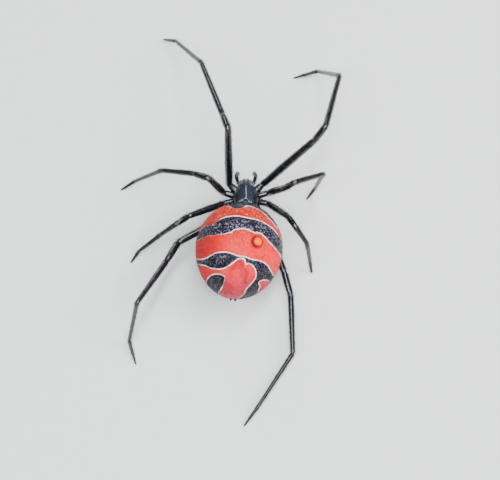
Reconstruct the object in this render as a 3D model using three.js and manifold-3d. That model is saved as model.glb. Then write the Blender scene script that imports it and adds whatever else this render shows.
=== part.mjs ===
// A female widow spider at life size, standing still on its eight feet.
// Millimetres, +Z up, the head towards +Y and the spider's right side towards +X.

import * as THREE from 'three';
import { mergeVertices } from 'three/addons/utils/BufferGeometryUtils.js';
import Module from 'manifold-3d';

const wasm = await Module();
wasm.setup();

const { degToRad, lerp } = THREE.MathUtils;
const UP = new THREE.Vector3(0, 0, 1);

// Driving dimensions

const GAP = 0.1; // clear gap between neighbouring pieces
const EYE_GAP = 0.04; // clear gap round an eye in its socket
const LIMB_SIDES = 12;

const HEAD_THORAX = {
  centre: new THREE.Vector3(-0.4, 3.45, 3.3),
  length: 3.4,
  width: 2.4,
  headWidth: 1.8,
  dome: 1.1, // height of the shell above its rim
  belly: 0.95, // depth of the sternum below the rim
};

const ABDOMEN = {
  centre: new THREE.Vector3(-1.1, -2.9, 5.5),
  width: 8.3,
  length: 9.3,
  height: 8.6,
  turn: -8, // degrees, so the rear swings to the spider's left
};

const BEAD = { right: 1.8, back: -0.1, radius: 0.5, height: 0.32 };

const EYE_RADIUS = 0.12;
// Each eye pair: place along the head, and degrees from the crown down the side of the head
const EYE_PAIRS = {
  posterior_median: { along: 1.3, side: 16 },
  posterior_lateral: { along: 1.24, side: 50 },
  anterior_median: { along: 1.54, side: 21 },
  anterior_lateral: { along: 1.48, side: 62 },
};

// Lengths of femur, patella, tibia, metatarsus and tarsus; hip is the bearing of the coxa
const LEG_PAIRS = {
  1: { hip: 47, lengths: [7.8, 2.0, 7.3, 7.2, 2.6], stoutness: 1.0 },
  2: { hip: 74, lengths: [4.6, 1.7, 3.9, 4.8, 1.9], stoutness: 0.92 },
  3: { hip: 106, lengths: [4.0, 1.5, 2.4, 3.2, 1.5], stoutness: 0.85 },
  4: { hip: 142, lengths: [6.3, 2.4, 5.7, 6.2, 2.4], stoutness: 0.98 },
};
const HIP_RING = { across: 2.3, along: 2.05, z: 2.85 };
const COXA_ROOT = { share: 0.5, drop: 0.3 }; // how far in and down the coxa starts

// The stance: bearings in degrees from straight ahead towards the right, slopes above level.
// Each leg's last slope is found from the floor.
const STANCE = {
  left_1: { bearings: [-1, -17, -18, -32, -53], slopes: [66, -25, -19, -42] },
  right_1: { bearings: [62, 50, 14, -32, -101], slopes: [44, 48, -23, -59] },
  left_2: { bearings: [-96, -65, -73, -85, -111], slopes: [73, -16, -28, -53] },
  right_2: { bearings: [125, 84, 61, -78, -127], slopes: [67, 53, -32, -81] },
  left_3: { bearings: [-117, -129, -110, -115, -141], slopes: [17, 15, -41, -41] },
  right_3: { bearings: [140, 151, 135, 158, 166], slopes: [43, 18, -46, -72] },
  left_4: { bearings: [-123, -154, -150, -155, -197], slopes: [10, 16, 18, -66] },
  right_4: { bearings: [158, 165, 178, 213, 217], slopes: [-7, -9, -7, -2] },
};

// Radius along each piece of a leg, as [share of its length, millimetres]
const LIMB_RADII = {
  coxa: [[0, 0.24], [0.55, 0.38], [1, 0.33]],
  femur: [[0, 0.31], [0.12, 0.38], [0.4, 0.43], [0.8, 0.37], [1, 0.34]],
  patella: [[0, 0.33], [0.5, 0.38], [1, 0.33]],
  tibia: [[0, 0.31], [0.25, 0.33], [0.7, 0.29], [1, 0.26]],
  metatarsus: [[0, 0.26], [0.4, 0.25]],
  tarsus: [[0, 0.25], [0.6, 0.21], [1, 0.15]],
};

// Materials

function shell(color, roughness) {
  return new THREE.MeshStandardMaterial({ color, roughness, metalness: 0 });
}

const blackShell = () => shell('#0b0c11', 0.22);
const brownShell = () => shell('#1a1311', 0.32);
const paleShell = () => shell('#4a3a33', 0.5);
const redSkin = () => shell('#b03a34', 0.4);
const orangeSkin = () => shell('#e0762a', 0.3);
const eyeLens = () => shell('#111318', 0.08);

// Closed surfaces and solids

function loft(rings) {
  const sides = rings[0].length;
  const points = rings.flat();
  const index = [];
  for (let ring = 0; ring < rings.length - 1; ring += 1) {
    for (let side = 0; side < sides; side += 1) {
      const a = ring * sides + side;
      const b = ring * sides + ((side + 1) % sides);
      index.push(a, b, a + sides, b, b + sides, a + sides);
    }
  }
  for (const ring of [0, rings.length - 1]) {
    const middle = points.length;
    points.push(rings[ring].reduce((sum, p) => sum.clone().add(p)).divideScalar(sides));
    for (let side = 0; side < sides; side += 1) {
      const a = ring * sides + side;
      const b = ring * sides + ((side + 1) % sides);
      index.push(middle, ...(ring === 0 ? [b, a] : [a, b]));
    }
  }
  const geometry = new THREE.BufferGeometry().setFromPoints(points);
  geometry.setIndex(index);
  return geometry;
}

function toSolid(geometry) {
  const bare = geometry.clone();
  bare.deleteAttribute('normal');
  bare.deleteAttribute('uv');
  const merged = mergeVertices(bare, 1e-4);
  return new wasm.Manifold(new wasm.Mesh({
    numProp: 3,
    vertProperties: new Float32Array(merged.attributes.position.array),
    triVerts: new Uint32Array(merged.index.array),
  }));
}

function toGeometry(solid) {
  const { vertProperties, triVerts } = solid.getMesh();
  const geometry = new THREE.BufferGeometry();
  geometry.setAttribute('position', new THREE.BufferAttribute(vertProperties, 3));
  geometry.setIndex(new THREE.BufferAttribute(triVerts, 1));
  return geometry;
}

function cut(geometry, ...cutters) {
  return toGeometry(cutters.reduce((rest, cutter) => rest.subtract(cutter), toSolid(geometry)));
}

function join(geometries) {
  return toGeometry(geometries.map(toSolid).reduce((whole, solid) => whole.add(solid)));
}

function direction(bearing, slope) {
  const turn = degToRad(bearing);
  const rise = degToRad(slope);
  return new THREE.Vector3(
    Math.sin(turn) * Math.cos(rise),
    Math.cos(turn) * Math.cos(rise),
    Math.sin(rise),
  );
}

// A round limb through stations of point and radius. Each end face is square to its given
// normal, and each face between lies halfway between the two stretches that it joins.
function limb(stations, startNormal, endNormal) {
  const last = stations.length - 1;
  const heading = stations.slice(1).map(({ point }, i) => (
    point.clone().sub(stations[i].point).normalize()));
  const rings = stations.map(({ point, radius }, i) => {
    const along = heading[Math.min(i, last - 1)];
    let normal = i === 0 ? startNormal : endNormal;
    if (i > 0 && i < last) normal = heading[i - 1].clone().add(heading[i]);
    const side = along.clone().cross(UP).normalize();
    const top = side.clone().cross(along);
    return Array.from({ length: LIMB_SIDES }, (_, k) => {
      const angle = (-2 * Math.PI * k) / LIMB_SIDES;
      const spoke = side.clone().multiplyScalar(radius * Math.cos(angle))
        .addScaledVector(top, radius * Math.sin(angle));
      const slide = -spoke.dot(normal) / along.dot(normal);
      return point.clone().add(spoke).addScaledVector(along, slide);
    });
  });
  return loft(rings);
}

function stationsBetween(start, end, radii, stoutness) {
  return radii.map(([share, radius]) => ({
    point: start.clone().lerp(end, share),
    radius: radius * stoutness,
  }));
}

// Head and thorax: one shell, narrow at the head and broad at the thorax

function headThoraxRing(along, extra) {
  const { centre, length, width, headWidth, dome, belly } = HEAD_THORAX;
  const half = length / 2;
  const t = along / half; // -1 at the rear, 1 at the front of the head
  const round = Math.sqrt(Math.max(0, 1 - Math.abs(t) ** 3.2));
  const broad = lerp(width, headWidth, THREE.MathUtils.smoothstep(t, -0.15, 0.75)) / 2;
  const headRise = 1 + 0.12 * Math.exp(-(((t - 0.5) / 0.35) ** 2));
  const pit = 0.16 * Math.exp(-(((t + 0.25) / 0.16) ** 2));
  const scale = half / (half + extra);
  return (angle) => {
    const c = Math.cos(angle);
    const s = Math.sin(angle);
    const lift = s > 0 ? dome * (headRise - pit * s ** 6) : belly;
    return new THREE.Vector3(
      centre.x + (broad * round + extra) * Math.sign(c) * Math.abs(c) ** (s < 0 ? 1.7 : 0.9),
      centre.y + along / scale,
      centre.z + (lift * round + extra) * s,
    );
  };
}

function headThorax(extra = 0, sides = 28, steps = 16) {
  const half = HEAD_THORAX.length / 2;
  const rings = Array.from({ length: steps + 1 }, (_, i) => {
    const along = -half * Math.cos((Math.PI * (i + 0.35)) / (steps + 0.7));
    const ring = headThoraxRing(along, extra);
    return Array.from({ length: sides }, (_unused, k) => ring((-2 * Math.PI * k) / sides));
  });
  return loft(rings);
}

// Abdomen: a globe, fullest ahead of its middle, drawn out low at the rear to the spinnerets

function abdomenPoint(polar, around, extra = 0) {
  const { width, length, height } = ABDOMEN;
  const ahead = Math.cos(polar); // 1 at the front, -1 at the rear
  const ring = Math.sin(polar) * (1 + 0.04 * ahead);
  const low = Math.max(0, -Math.sin(around)) * Math.sin(polar);
  const tail = Math.exp(-(((ahead + 0.72) / 0.3) ** 2)) * low ** 2;
  const flat = 1 - 0.1 * low ** 2 * (1 - tail);
  return new THREE.Vector3(
    (width / 2 + extra) * ring * Math.cos(around),
    (length / 2 + extra) * (ahead - 0.05 * tail),
    (height / 2 + extra) * ring * Math.sin(around) * (flat + 0.12 * tail),
  );
}

function placeOnAbdomen(geometry) {
  return geometry.rotateZ(degToRad(ABDOMEN.turn))
    .translate(...ABDOMEN.centre.toArray());
}

function abdomen(extra = 0, sides = 40, steps = 26) {
  const rings = Array.from({ length: steps + 1 }, (_, i) => {
    const polar = (Math.PI * (i + 0.25)) / (steps + 0.5);
    return Array.from({ length: sides }, (_unused, k) => (
      abdomenPoint(polar, (2 * Math.PI * k) / sides, extra)));
  });
  return placeOnAbdomen(loft(rings));
}

function bead(extra = 0) {
  const { right, back, radius, height } = BEAD;
  const crown = ABDOMEN.height / 2;
  const dome = new THREE.SphereGeometry(1, 20, 12);
  dome.scale(radius + extra, radius + extra, height + extra);
  const lean = Math.asin(right / crown);
  const pitch = Math.asin(back / crown);
  dome.translate(0, 0, crown - 0.02).rotateY(lean).rotateX(-pitch);
  return placeOnAbdomen(dome);
}

function spinnerets() {
  const root = abdomenPoint(degToRad(142), degToRad(-90)).multiplyScalar(0.93);
  const aim = new THREE.Vector3(0, -0.72, -0.7).normalize();
  const cones = [];
  for (const [across, fore, reach] of [[0.22, 0.16, 0.95], [0.2, -0.2, 0.85]]) {
    for (const side of [-1, 1]) {
      const start = root.clone().add(new THREE.Vector3(side * across, fore * 0.7, -fore * 0.7));
      const tip = start.clone().addScaledVector(aim, reach);
      cones.push(limb([
        { point: start, radius: 0.3 },
        { point: start.clone().lerp(tip, 0.75), radius: 0.24 },
        { point: tip, radius: 0.12 },
      ], aim, aim));
    }
  }
  return cones.map(placeOnAbdomen);
}

// Mouthparts, placed from the front of the head

function headPoint(right, ahead, up) {
  const { centre, length } = HEAD_THORAX;
  return new THREE.Vector3(centre.x + right, centre.y + length / 2 + ahead, centre.z + up);
}

function chelicera(side) {
  const base = headPoint(side * 0.27, -0.02, -0.62);
  const knee = headPoint(side * 0.27, 0.04, -0.88);
  const foot = headPoint(side * 0.26, 0.02, -1.32);
  const fangTip = headPoint(side * 0.12, -0.16, -1.62);
  const down = foot.clone().sub(knee).normalize();
  return limb([
    { point: base, radius: 0.2 },
    { point: knee, radius: 0.22 },
    { point: knee.clone().lerp(foot, 0.6), radius: 0.2 },
    { point: foot, radius: 0.15 },
    { point: fangTip, radius: 0.05 },
  ], new THREE.Vector3(0, 0.35, -1), down);
}

function pedipalp(side) {
  const root = headPoint(side * 0.53, -0.4, -0.85);
  const hip = headPoint(side * 0.82, 0.1, -0.8);
  const knee = headPoint(side * 0.98, 0.62, -0.3);
  const wrist = headPoint(side * 0.88, 1.1, -0.8);
  const tip = headPoint(side * 0.66, 1.2, -1.75);
  return limb([
    { point: root, radius: 0.15 },
    { point: hip, radius: 0.18 },
    { point: hip.clone().lerp(knee, 0.5), radius: 0.2 },
    { point: knee, radius: 0.2 },
    { point: wrist, radius: 0.2 },
    { point: wrist.clone().lerp(tip, 0.6), radius: 0.18 },
    { point: tip, radius: 0.1 },
  ], hip.clone().sub(root), tip.clone().sub(wrist));
}

function eye(pair, side, extra = 0) {
  const along = pair.along;
  const angle = Math.PI / 2 - side * degToRad(pair.side);
  const seat = headThoraxRing(along, 0)(angle);
  const ball = new THREE.SphereGeometry(EYE_RADIUS + extra, 12, 8);
  return ball.translate(seat.x, seat.y, seat.z);
}

// Legs

function legJoints(name) {
  const [sideName, pair] = name.split('_');
  const side = sideName === 'left' ? -1 : 1;
  const { hip, lengths } = LEG_PAIRS[pair];
  const { bearings, slopes } = STANCE[name];
  const { centre } = HEAD_THORAX;
  const out = new THREE.Vector3(side * Math.sin(degToRad(hip)), Math.cos(degToRad(hip)), 0);
  const reach = new THREE.Vector3(out.x * HIP_RING.across, out.y * HIP_RING.along, 0);
  const joints = [
    new THREE.Vector3(centre.x, centre.y, HIP_RING.z - COXA_ROOT.drop)
      .addScaledVector(reach, COXA_ROOT.share),
    new THREE.Vector3(centre.x, centre.y, HIP_RING.z).add(reach),
  ];
  lengths.forEach((length, i) => {
    const from = joints[joints.length - 1];
    const slope = slopes[i] ?? THREE.MathUtils.radToDeg(-Math.asin(from.z / length));
    joints.push(from.clone().addScaledVector(direction(bearings[i], slope), length));
  });
  joints[joints.length - 1].z = 0;
  return joints;
}

function legPieces(name) {
  const { stoutness } = LEG_PAIRS[name.split('_')[1]];
  const [root, hip, knee, shin, ankle, toe, sole] = legJoints(name);
  const joints = [root, hip, knee, shin, ankle];
  const headings = joints.map((joint, i) => (
    [hip, knee, shin, ankle, toe][i].clone().sub(joint).normalize()));
  const between = (i) => headings[i - 1].clone().add(headings[i]).normalize();
  const pieces = {};
  ['coxa', 'femur', 'patella', 'tibia'].forEach((piece, i) => {
    const startNormal = i === 0 ? headings[0] : between(i);
    const endNormal = between(i + 1);
    const start = joints[i].clone().addScaledVector(headings[i], i === 0 ? 0 : GAP / 2);
    const end = joints[i + 1].clone().addScaledVector(headings[i], -GAP / 2);
    const stations = stationsBetween(start, end, LIMB_RADII[piece], stoutness);
    pieces[piece] = limb(stations, startNormal, endNormal);
  });
  const footStart = ankle.clone().addScaledVector(headings[4], GAP / 2);
  pieces.foot = limb([
    ...stationsBetween(footStart, toe, LIMB_RADII.metatarsus, 1),
    ...stationsBetween(toe, sole, LIMB_RADII.tarsus, 1),
  ], between(4), UP);
  return pieces;
}

// The whole spider

const animal = new THREE.Group();

function add(name, geometry, material) {
  const flat = geometry.index ? geometry.toNonIndexed() : geometry;
  flat.deleteAttribute('normal');
  flat.deleteAttribute('uv');
  const closed = mergeVertices(flat, 1e-4);
  closed.computeVertexNormals();
  const mesh = new THREE.Mesh(closed, material);
  mesh.name = name;
  animal.add(mesh);
}

const headCutter = toSolid(headThorax(GAP));
const abdomenCutter = toSolid(abdomen(GAP));

const eyes = Object.entries(EYE_PAIRS).flatMap(([pairName, pair]) => (
  [['left', -1], ['right', 1]].map(([sideName, side]) => (
    { name: `eye_${pairName}_${sideName}`, pair, side }))));
const sockets = eyes.map(({ pair, side }) => toSolid(eye(pair, side, EYE_GAP)));
add('head_thorax', cut(headThorax(), ...sockets), blackShell());
for (const { name, pair, side } of eyes) add(name, eye(pair, side), eyeLens());

for (const [sideName, side] of [['left', -1], ['right', 1]]) {
  add(`chelicera_${sideName}`, chelicera(side), brownShell());
  add(`pedipalp_${sideName}`, pedipalp(side), brownShell());
}

const stalkStart = HEAD_THORAX.centre.clone().add(new THREE.Vector3(0, -1.5, -0.1));
const stalkEnd = ABDOMEN.centre.clone().add(new THREE.Vector3(0.45, 3.5, -1.5));
const stalkWay = stalkEnd.clone().sub(stalkStart);
add('pedicel', cut(limb([
  { point: stalkStart, radius: 0.34 },
  { point: stalkStart.clone().lerp(stalkEnd, 0.5), radius: 0.3 },
  { point: stalkEnd, radius: 0.36 },
], stalkWay, stalkWay), headCutter, abdomenCutter), brownShell());

add('abdomen', cut(abdomen(), toSolid(bead(EYE_GAP))), redSkin());
add('abdomen_bead', bead(), orangeSkin());
add('spinnerets', cut(join(spinnerets()), abdomenCutter), paleShell());

for (const name of Object.keys(STANCE)) {
  const [sideName, pair] = name.split('_');
  for (const [piece, geometry] of Object.entries(legPieces(name))) {
    const whole = piece === 'coxa' ? cut(geometry, headCutter) : geometry;
    const material = piece === 'foot' ? brownShell() : blackShell();
    add(`leg_${pair}_${sideName}_${piece}`, whole, material);
  }
}

// The origin is on the floor, under the middle of the whole spider
const box = new THREE.Box3().setFromObject(animal);
animal.position.set(-(box.min.x + box.max.x) / 2, -(box.min.y + box.max.y) / 2, 0);

const spider = new THREE.Group();
spider.add(animal);

export default spider;
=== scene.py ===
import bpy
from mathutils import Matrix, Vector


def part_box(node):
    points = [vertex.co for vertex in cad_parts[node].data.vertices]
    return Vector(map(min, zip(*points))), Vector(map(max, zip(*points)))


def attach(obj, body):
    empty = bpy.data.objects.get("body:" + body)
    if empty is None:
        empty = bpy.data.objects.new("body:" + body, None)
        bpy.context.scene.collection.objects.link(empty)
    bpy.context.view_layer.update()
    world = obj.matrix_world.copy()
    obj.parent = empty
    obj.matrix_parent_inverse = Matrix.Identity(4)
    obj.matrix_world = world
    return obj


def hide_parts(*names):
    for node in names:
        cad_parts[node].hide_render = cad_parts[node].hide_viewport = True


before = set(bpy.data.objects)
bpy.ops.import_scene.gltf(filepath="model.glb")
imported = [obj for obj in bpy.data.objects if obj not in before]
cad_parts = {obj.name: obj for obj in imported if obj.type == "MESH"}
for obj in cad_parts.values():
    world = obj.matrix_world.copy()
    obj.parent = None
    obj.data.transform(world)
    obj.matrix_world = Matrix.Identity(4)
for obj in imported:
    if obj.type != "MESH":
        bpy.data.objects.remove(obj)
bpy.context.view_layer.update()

import math

import bmesh
import bpy
import numpy as np
from mathutils import Matrix, Vector


# The stand and the light. The spider is shown on a plain pale board, lit like a museum case:
# narrow lamps draw bright lines on each glossy tube, and a broad soft one, which isn't
# mirrored, lights it from its right. The camera looks down on its back from behind.
MM = 0.001
CAMERA_RISE = math.radians(72)
CAMERA_REACH = 170 * MM
CAMERA_SPAN = 50 * MM  # what the picture's width takes in at that reach
SENSOR_WIDTH = 36
AIM = Vector((2.067, -1.396, 0)) * MM  # the point of the board in the middle of the picture
COOL_LIGHT = (0.86, 0.94, 1.0)
PALE_LIGHT = (0.93, 0.97, 1.0)
WARM_LIGHT = (1.0, 0.985, 0.965)
BOARD_HALF = 1.5  # metres, so that its edge is never seen

camera_data = bpy.data.cameras.new("camera")
camera_data.sensor_width = SENSOR_WIDTH
camera_data.lens = SENSOR_WIDTH * CAMERA_REACH / CAMERA_SPAN
camera_data.clip_start = 5 * MM
camera_data.clip_end = 20
camera = bpy.data.objects.new("camera", camera_data)
bpy.context.collection.objects.link(camera)
towards_camera = Vector((0, -math.cos(CAMERA_RISE), math.sin(CAMERA_RISE)))
camera.location = AIM + towards_camera * CAMERA_REACH
camera.rotation_euler = (math.pi / 2 - CAMERA_RISE, 0, 0)
bpy.context.scene.camera = camera


def add_lamp(name, place, width, length, watts, color, mirrored=True):
    """A rectangular lamp, aimed at the middle of the picture."""
    data = bpy.data.lights.new(name, "AREA")
    data.shape = "RECTANGLE"
    data.size = width
    data.size_y = length
    data.energy = watts
    data.color = color
    lamp = bpy.data.objects.new(name, data)
    bpy.context.collection.objects.link(lamp)
    lamp.location = place
    lamp.visible_glossy = mirrored
    lamp.rotation_euler = (AIM - Vector(place)).to_track_quat("-Z", "Y").to_euler()


add_lamp("long_lamp", (0.03, 0.05, 0.33), 0.055, 0.3, 1.3, COOL_LIGHT)
add_lamp("cross_lamp", (-0.01, -0.13, 0.34), 0.4, 0.1, 2.0, COOL_LIGHT)
add_lamp("front_lamp", (-0.09, 0.32, 0.16), 0.05, 0.16, 0.35, PALE_LIGHT)
add_lamp("rear_lamp", (0.03, -0.34, 0.12), 0.24, 0.04, 0.4, PALE_LIGHT)
add_lamp("soft_lamp", (0.31, 0.05, 0.28), 0.26, 0.26, 2.0, WARM_LIGHT, mirrored=False)

world = bpy.data.worlds.new("surround")
bpy.context.scene.world = world
world.use_nodes = True
surround = world.node_tree.nodes["Background"]
surround.inputs["Color"].default_value = (0.84, 0.90, 1.0, 1)
surround.inputs["Strength"].default_value = 0.2


def add_node(tree, kind, values=None, **settings):
    """A shader node, with its plain settings and the values of its named inputs."""
    made = tree.nodes.new(kind)
    for key, value in settings.items():
        setattr(made, key, value)
    for key, value in (values or {}).items():
        made.inputs[key].default_value = value
    return made


def add_mix(tree, factor, first, second):
    """Mixes two colours; each may be a socket or a plain colour."""
    mix = add_node(tree, "ShaderNodeMix", data_type="RGBA")
    for name, value in (("Factor", factor), ("A", first), ("B", second)):
        if isinstance(value, bpy.types.NodeSocket):
            tree.links.new(value, mix.inputs[name])
        else:
            mix.inputs[name].default_value = value
    return mix.outputs["Result"]


def new_material(name, values):
    """A material with one Principled shader; returns it, its tree and the shader."""
    material = bpy.data.materials.new(name)
    material.use_nodes = True
    shader = material.node_tree.nodes["Principled BSDF"]
    for key, value in values.items():
        shader.inputs[key].default_value = value
    return material, material.node_tree, shader


board_material, board_tree, board_shader = new_material("board_paint", {"Roughness": 0.62})
board_speck = add_node(board_tree, "ShaderNodeTexNoise", {"Scale": 900.0, "Detail": 4.0})
board_coordinates = add_node(board_tree, "ShaderNodeTexCoord")
board_tree.links.new(board_coordinates.outputs["Object"], board_speck.inputs["Vector"])
board_tone = add_mix(board_tree, board_speck.outputs["Fac"], (0.66, 0.64, 0.60, 1),
                     (0.72, 0.705, 0.67, 1))
board_tree.links.new(board_tone, board_shader.inputs["Base Color"])

board_shape = bmesh.new()
bmesh.ops.create_grid(board_shape, x_segments=1, y_segments=1, size=BOARD_HALF)
board_mesh = bpy.data.meshes.new("board")
board_shape.to_mesh(board_mesh)
board_shape.free()
board_mesh.materials.append(board_material)
board = bpy.data.objects.new("board", board_mesh)
bpy.context.collection.objects.link(board)


# Head and thorax. One hard shell in life: a domed shield over the back, raised and narrow at
# the head, with a ridge along its middle and grooves that fan out from it, and a flat plate
# underneath. It is moulded from a ball, pressed to the shield's outline.
def box_of(node):
    """Lowest and highest corner of a CAD node."""
    return [np.array(corner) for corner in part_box(node)]


def middle_of(node):
    """Middle of a CAD node's box."""
    return sum(box_of(node)) / 2


head_low, head_high = box_of("head_thorax")
head_centre = middle_of("head_thorax")
head_centre[2] = head_low[2] + 0.95 * MM
HEAD_HALF_LENGTH = (head_high[1] - head_low[1]) / 2 - 0.01 * MM
SHIELD_WIDTH = (head_high[0] - head_low[0]) / 2
HEAD_WIDTH = 0.89 * MM
SHIELD_RISE = 1.1 * MM
PLATE_DROP = 0.93 * MM
GROOVE_DEPTH = 0.04 * MM
RIDGE_HEIGHT = 0.085 * MM
LIP_WIDTH = 0.04 * MM
EYE_MOUND = 0.045 * MM
EYE_MOUND_REACH = 0.2 * MM


def new_group(name, inputs, outputs):
    """A shader node group with named inputs and outputs; returns it and its two ends."""
    group = bpy.data.node_groups.new(name, "ShaderNodeTree")
    for way, sockets in (("INPUT", inputs), ("OUTPUT", outputs)):
        for socket in sockets:
            kind = "NodeSocketColor" if socket == "Color" else "NodeSocketFloat"
            group.interface.new_socket(socket, in_out=way, socket_type=kind)
    return group, group.nodes.new("NodeGroupInput"), group.nodes.new("NodeGroupOutput")


def build_grain_group():
    """The fine pits of hair sockets as a height, and soft clouds as a mask."""
    group, start, end = new_group("cuticle_grain", ("Pit Size", "Cloud Size"),
                                  ("Height", "Cloud"))
    coordinates = add_node(group, "ShaderNodeTexCoord")
    pits = add_node(group, "ShaderNodeTexVoronoi", feature="F1")
    cloud = add_node(group, "ShaderNodeTexNoise", {"Detail": 5.0, "Roughness": 0.6})
    for texture, size in ((pits, "Pit Size"), (cloud, "Cloud Size")):
        group.links.new(coordinates.outputs["Object"], texture.inputs["Vector"])
        group.links.new(start.outputs[size], texture.inputs["Scale"])
    group.links.new(pits.outputs["Distance"], end.inputs["Height"])
    group.links.new(cloud.outputs["Fac"], end.inputs["Cloud"])
    return group


cuticle_grain = build_grain_group()


def add_grain(tree, shader, pit_size, cloud_size, depth, strength=1.0):
    """Puts the grain on a material as a bump, and returns its clouds."""
    grain = add_node(tree, "ShaderNodeGroup", node_tree=cuticle_grain)
    grain.inputs["Pit Size"].default_value = pit_size
    grain.inputs["Cloud Size"].default_value = cloud_size
    bump = add_node(tree, "ShaderNodeBump", {"Distance": depth, "Strength": strength})
    tree.links.new(grain.outputs["Height"], bump.inputs["Height"])
    tree.links.new(bump.outputs["Normal"], shader.inputs["Normal"])
    return grain.outputs["Cloud"]


def add_range(tree, source, low, high, to_low=0.0, to_high=1.0):
    """Maps a value smoothly from one range to another, held at both ends."""
    mapped = add_node(tree, "ShaderNodeMapRange", {
        "From Min": low, "From Max": high, "To Min": to_low, "To Max": to_high,
    }, interpolation_type="SMOOTHSTEP")
    tree.links.new(source, mapped.inputs["Value"])
    return mapped.outputs["Result"]


def add_mask(tree, name):
    """The value of one of the piece's own point attributes."""
    return add_node(tree, "ShaderNodeAttribute", attribute_name=name).outputs["Fac"]


def build_shell_material(name, dark, warm, membrane, gloss):
    """Hard glossy shell: dark, going warm and duller where distal is one, pale where membrane
    shows; on the head, dark is a painted blue sheen.
    """
    material, tree, shader = new_material(
        name, {"Coat Roughness": 0.1, "Specular IOR Level": 0.42})
    cloud = add_grain(tree, shader, 11000, 1500, 0.008 * MM)
    distal = add_mask(tree, "distal")
    warmer = tuple(c * 1.6 for c in warm[:3]) + (1,)
    color = add_mix(tree, distal, dark, warm)
    color = add_mix(tree, add_range(tree, cloud, 0.45, 0.8, 0, 0.5), color, warmer)
    color = add_mix(tree, add_range(tree, cloud, 0.3, 0.6, 0.25, 0.0), color, dark)
    color = add_mix(tree, add_mask(tree, "membrane"), color, membrane)
    tree.links.new(color, shader.inputs["Base Color"])
    tree.links.new(add_range(tree, distal, 0.3, 1.0, 0.6, 0.12), shader.inputs["Coat Weight"])
    duller = add_node(tree, "ShaderNodeMath", {1: 0.12}, operation="MULTIPLY_ADD")
    tree.links.new(distal, duller.inputs[0])
    tree.links.new(add_range(tree, cloud, 0.3, 0.7, gloss, gloss + 0.14), duller.inputs[2])
    tree.links.new(duller.outputs["Value"], shader.inputs["Roughness"])
    return material


# The head's colour is a painted blue sheen on its top, standing for the sky mirrored on its black
# shell, going black where distal is one.
shell_painted_blue_sheen = build_shell_material("shell_painted_blue_sheen", (0.011, 0.018, 0.030, 1),
                                  (0.003, 0.003, 0.005, 1), (0.05, 0.036, 0.032, 1), 0.22)


def add_piece(name, mesh, material):
    """Makes a mesh a smooth piece of the spider that rides on its one body."""
    mesh.materials.append(material)
    mesh.polygons.foreach_set("use_smooth", [True] * len(mesh.polygons))
    piece = bpy.data.objects.new(name, mesh)
    bpy.context.collection.objects.link(piece)
    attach(piece, "root")
    return piece


def finish_piece(name, shape, material, nodes):
    """Turns a finished bmesh into a piece that stands for its CAD nodes."""
    bmesh.ops.recalc_face_normals(shape, faces=shape.faces)
    mesh = bpy.data.meshes.new(name)
    shape.to_mesh(mesh)
    shape.free()
    piece = add_piece(name, mesh, material)
    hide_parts(*nodes)
    return piece


def set_mask(piece, name, values):
    """Writes one value for each point of a piece, for its material to read."""
    attribute = piece.data.attributes.new(name, "FLOAT", "POINT")
    values = np.broadcast_to(values, len(attribute.data))
    attribute.data.foreach_set("value", np.ascontiguousarray(values, dtype=np.float32))


def points_of(mesh):
    """The points of a mesh as an array."""
    flat = np.empty(len(mesh.vertices) * 3, dtype=np.float32)
    mesh.vertices.foreach_get("co", flat)
    return flat.reshape(-1, 3).astype(float)


def unit(vectors):
    """Vectors brought to length one."""
    return vectors / np.linalg.norm(vectors, axis=-1, keepdims=True)


def bell(value, middle, width):
    """A soft bump of height one."""
    return np.exp(-(((value - middle) / width) ** 2))


def blend_step(value, low, high):
    """A smooth step from nought to one."""
    t = np.clip((value - low) / (high - low), 0, 1)
    return t * t * (3 - 2 * t)


def shape_head(ahead, around):
    """Points of the shield; ahead runs from -1 at the rear to 1 at the front of the head."""
    c, s = np.cos(around), np.sin(around)
    above = s > 0
    # the outline, broad between the legs and narrow at the head, with a lip round its edge
    round_off = np.sqrt(np.maximum(0, 1 - np.abs(ahead) ** 3.2))
    broad = SHIELD_WIDTH + (HEAD_WIDTH - SHIELD_WIDTH) * blend_step(ahead, -0.15, 0.75)
    across = np.sign(c) * np.abs(c) ** np.where(above, 0.9, 1.7)
    lip = LIP_WIDTH * bell(s, 0.04, 0.05)
    # a groove on each side of the head, and a fan of grooves behind it
    beside_head = np.abs(np.abs(c) - (0.14 + 0.7 * np.clip((ahead + 0.3) / 0.9, 0, 1)))
    groove = GROOVE_DEPTH * bell(beside_head, 0, 0.085) * blend_step(ahead, -0.2, 0.05)
    groove *= 1 - blend_step(ahead, 0.35, 0.6)
    fan = np.cos(3.5 * (np.arctan2(c, ahead + 0.42) - math.pi / 2)) ** 8
    groove += (GROOVE_DEPTH * fan * blend_step(np.abs(c), 0.16, 0.4)
               * (1 - blend_step(ahead, -0.1, 0.1)))
    # the ridge, and the rise: highest at the head, sloping down and squared off at the rear
    ridge = RIDGE_HEIGHT * bell(c, 0, 0.17 - 0.05 * ahead) * blend_step(ahead, -0.5, -0.35)
    ridge *= 1 - blend_step(ahead, 0.7, 0.95)
    rise = SHIELD_RISE * (1 + 0.12 * bell(ahead, 0.5, 0.35)
                          - 0.11 * blend_step(-ahead, 0.26, 0.8))
    lift = np.where(above, rise - groove + ridge, PLATE_DROP)
    squared = 1 - 0.6 * bell(ahead, -0.55, 0.25) * above
    return np.stack([
        head_centre[0] + (broad + lip) * round_off * across,
        head_centre[1] + ahead * HEAD_HALF_LENGTH,
        head_centre[2] + lift * round_off * np.sign(s) * np.abs(s) ** squared,
    ], axis=-1)


def new_ball(around, along):
    """A unit ball whose poles lie ahead and behind."""
    shape = bmesh.new()
    bmesh.ops.create_uvsphere(shape, u_segments=around, v_segments=along, radius=1,
                              matrix=Matrix.Rotation(math.pi / 2, 4, "X"))
    return shape


def ball_angles(shape):
    """Place of each point of such a ball: from -1 behind to 1 ahead, and its turn."""
    points = np.array([vert.co for vert in shape.verts])
    return np.clip(points[:, 1], -1, 1), np.arctan2(points[:, 2], points[:, 0])


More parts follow.
